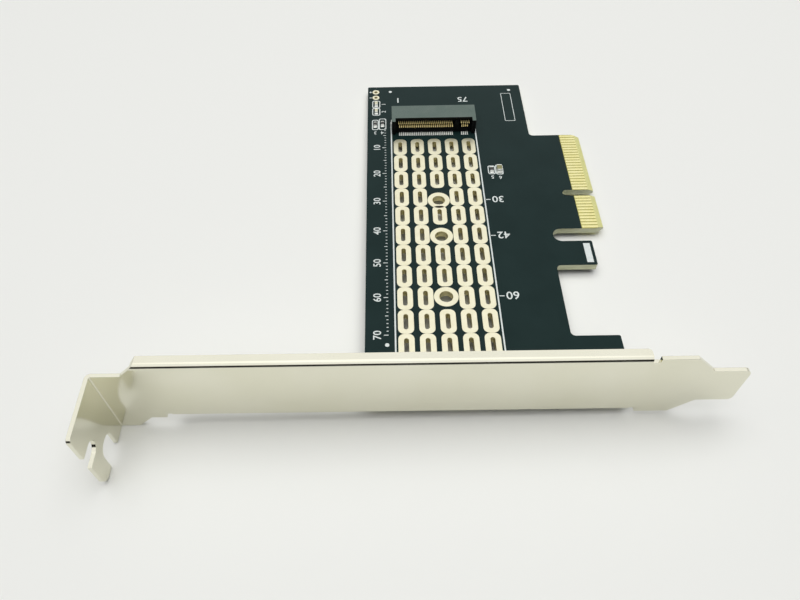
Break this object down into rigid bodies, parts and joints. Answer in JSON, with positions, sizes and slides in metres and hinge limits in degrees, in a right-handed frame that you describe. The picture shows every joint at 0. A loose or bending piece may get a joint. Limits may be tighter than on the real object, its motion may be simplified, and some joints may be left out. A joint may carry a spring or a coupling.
{
  "type": "nvme adapter card",
  "caption": "Passive adapter card that carries an M-key drive in a card-edge slot: a slotted black circuit board, a drive socket, gold edge contacts and a folded metal bracket.",
  "frame": {"origin": "where the centre line of the card edge's key notch meets the line of the tongue's tip, on the component face of the board", "axes": "+X is the way the card edge goes into its slot, +Y runs along the card away from the bracket, +Z leaves the component face"},
  "size_m": [0.12, 0.1163, 0.0216],
  "materials": {
    "solder_mask": "semi-matt black solder mask on glass fibre",
    "contact_gold": "hard gold over copper",
    "immersion_gold": "pale immersion gold",
    "socket_black": "moulded, slight sheen",
    "tin": "tinned",
    "nickel_steel": "satin nickel plate on sheet steel",
    "zinc_steel": "bright zinc",
    "ceramic": "fired ceramic"
  },
  "bodies": {
    "root": {"circuit_board": "solder_mask", "edge_contacts_component_side": "contact_gold", "edge_contacts_solder_side": "contact_gold", "heat_pads_component_side": "immersion_gold", "drive_hole_pads_30": "immersion_gold", "drive_hole_pads_42": "immersion_gold", "drive_hole_pads_60": "immersion_gold", "drive_hole_pads_80": "immersion_gold", "header_hole_plating": "immersion_gold", "drive_socket_housing": "socket_black", "socket_contacts_upper": "contact_gold", "socket_contacts_lower": "contact_gold", "socket_hold_downs": "tin", "indicator_led_far": "ceramic", "indicator_led_near": "ceramic", "led_resistor_outer": "ceramic", "led_resistor_inner": "ceramic", "bias_resistor": "ceramic", "filter_capacitor": "ceramic", "bracket": "nickel_steel", "bracket_screw_left": "zinc_steel", "bracket_screw_right": "zinc_steel"}
  },
  "joints": []
}
